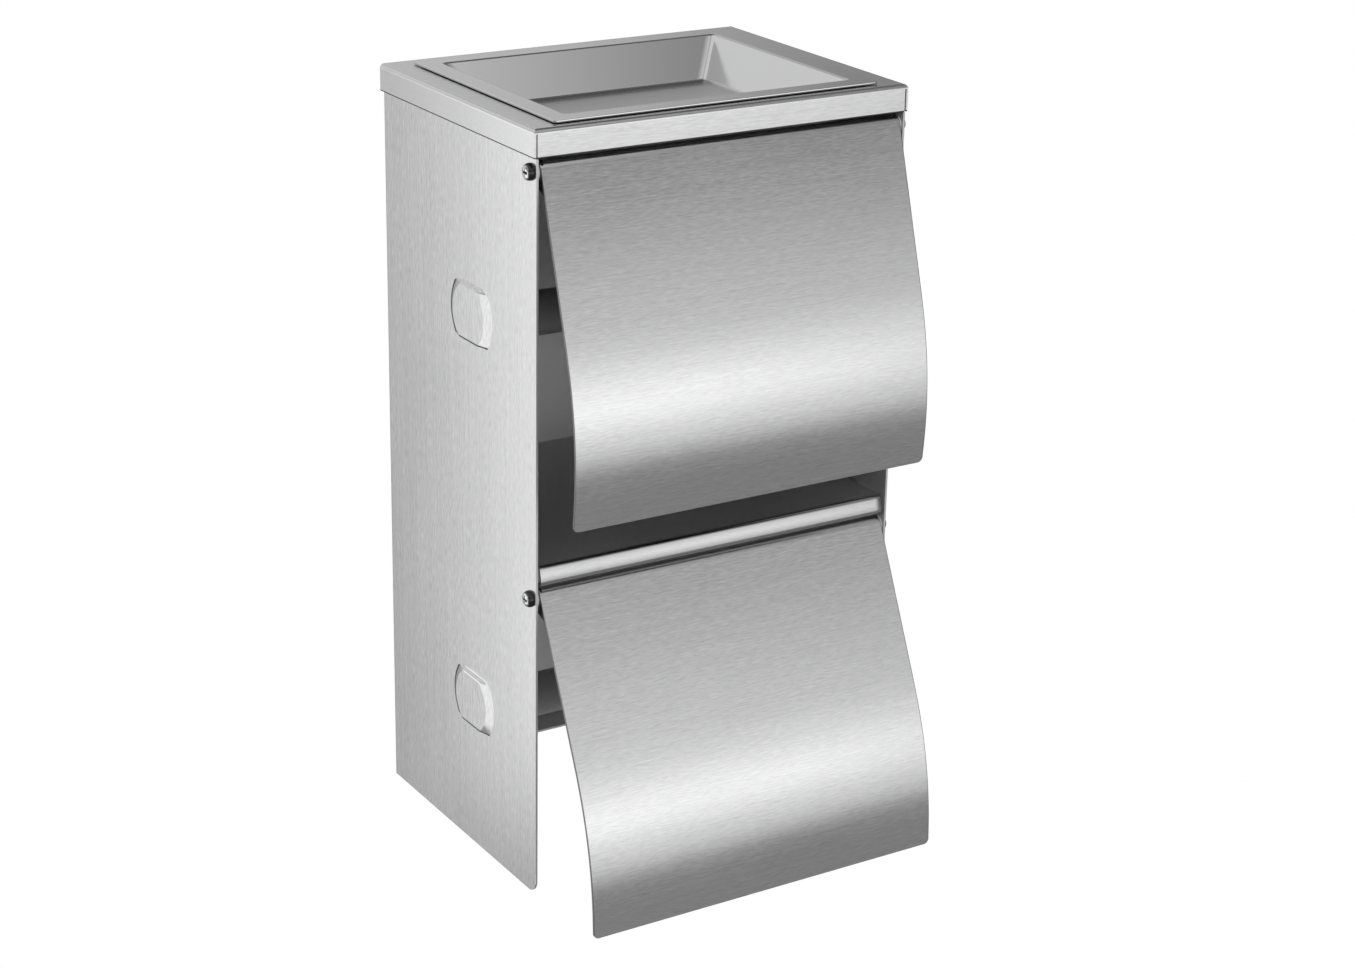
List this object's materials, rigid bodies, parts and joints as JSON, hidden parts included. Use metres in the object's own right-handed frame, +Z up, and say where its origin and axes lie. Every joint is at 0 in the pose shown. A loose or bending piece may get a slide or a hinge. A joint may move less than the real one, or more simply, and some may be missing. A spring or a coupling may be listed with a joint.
{
  "type": "toilet paper holder",
  "caption": "Wall-mounted folded steel toilet roll holder: stacked bays with hinged curved flaps, sprung spindles and a lift-out ashtray in the top cover.",
  "frame": {"origin": "centre of the wall screw holes, in the wall plane at the back", "axes": "+Z up, +Y into the wall, the flaps face -Y, +X to the right seen from the front"},
  "size_m": [0.1528, 0.152, 0.2811],
  "materials": {
    "cabinet_steel": "fine vertical brushing",
    "cover_steel": "fine brushing along the edges",
    "tray_steel": "smooth satin pressing",
    "shelf_steel": "smooth bent lip",
    "flap_steel": "horizontal brushing",
    "screw_steel": "bright",
    "nut_steel": "zinc bright",
    "washer_plastic": "natural",
    "spindle_plastic": "black, smooth",
    "spring_steel": "bright wire"
  },
  "bodies": {
    "frame": {"body_shell": "cabinet_steel", "top_cover": "cover_steel", "divider_shelf": "shelf_steel", "upper_left_pivot_screw": "screw_steel", "upper_right_pivot_screw": "screw_steel", "lower_left_pivot_screw": "screw_steel", "lower_right_pivot_screw": "screw_steel", "upper_left_washer": "washer_plastic", "upper_right_washer": "washer_plastic", "lower_left_washer": "washer_plastic", "lower_right_washer": "washer_plastic", "upper_left_lock_nut": "nut_steel", "upper_right_lock_nut": "nut_steel", "lower_left_lock_nut": "nut_steel", "lower_right_lock_nut": "nut_steel"},
    "upper_flap": {"upper_flap": "flap_steel"},
    "lower_flap": {"lower_flap": "flap_steel"},
    "ashtray": {"ashtray": "tray_steel"},
    "upper_spindle": {"upper_spindle_sleeve": "spindle_plastic", "upper_spindle_spring": "spring_steel"},
    "upper_plunger": {"upper_spindle_plunger": "spindle_plastic"},
    "lower_spindle": {"lower_spindle_sleeve": "spindle_plastic", "lower_spindle_spring": "spring_steel"},
    "lower_plunger": {"lower_spindle_plunger": "spindle_plastic"}
  },
  "joints": [
    {"name": "upper_flap_hinge", "type": "hinge", "parent": "frame", "child": "upper_flap", "pos_m": [0, -0.1088, 0.1051], "axis": [-1, 0, 0], "range_deg": [-17, 68]},
    {"name": "lower_flap_hinge", "type": "hinge", "parent": "frame", "child": "lower_flap", "pos_m": [0, -0.1088, -0.04638], "axis": [-1, 0, 0], "range_deg": [-25, 60]},
    {"name": "ashtray_lift", "type": "slide", "parent": "frame", "child": "ashtray", "axis": [0, 0, 1], "range_m": [0, 0.05]},
    {"name": "upper_spindle_spin", "type": "hinge", "parent": "frame", "child": "upper_spindle", "pos_m": [0, -0.067, 0.04175], "axis": [1, 0, 0], "continuous": true},
    {"name": "upper_plunger_slide", "type": "slide", "parent": "upper_spindle", "child": "upper_plunger", "axis": [-1, 0, 0], "range_m": [0, 0.008], "stiffness_N_per_m": 250, "springref_m": -0.012, "deforming": ["upper_spindle_spring"]},
    {"name": "lower_spindle_spin", "type": "hinge", "parent": "frame", "child": "lower_spindle", "pos_m": [0, -0.067, -0.10525], "axis": [1, 0, 0], "continuous": true},
    {"name": "lower_plunger_slide", "type": "slide", "parent": "lower_spindle", "child": "lower_plunger", "axis": [-1, 0, 0], "range_m": [0, 0.008], "stiffness_N_per_m": 250, "springref_m": -0.012, "deforming": ["lower_spindle_spring"]}
  ]
}
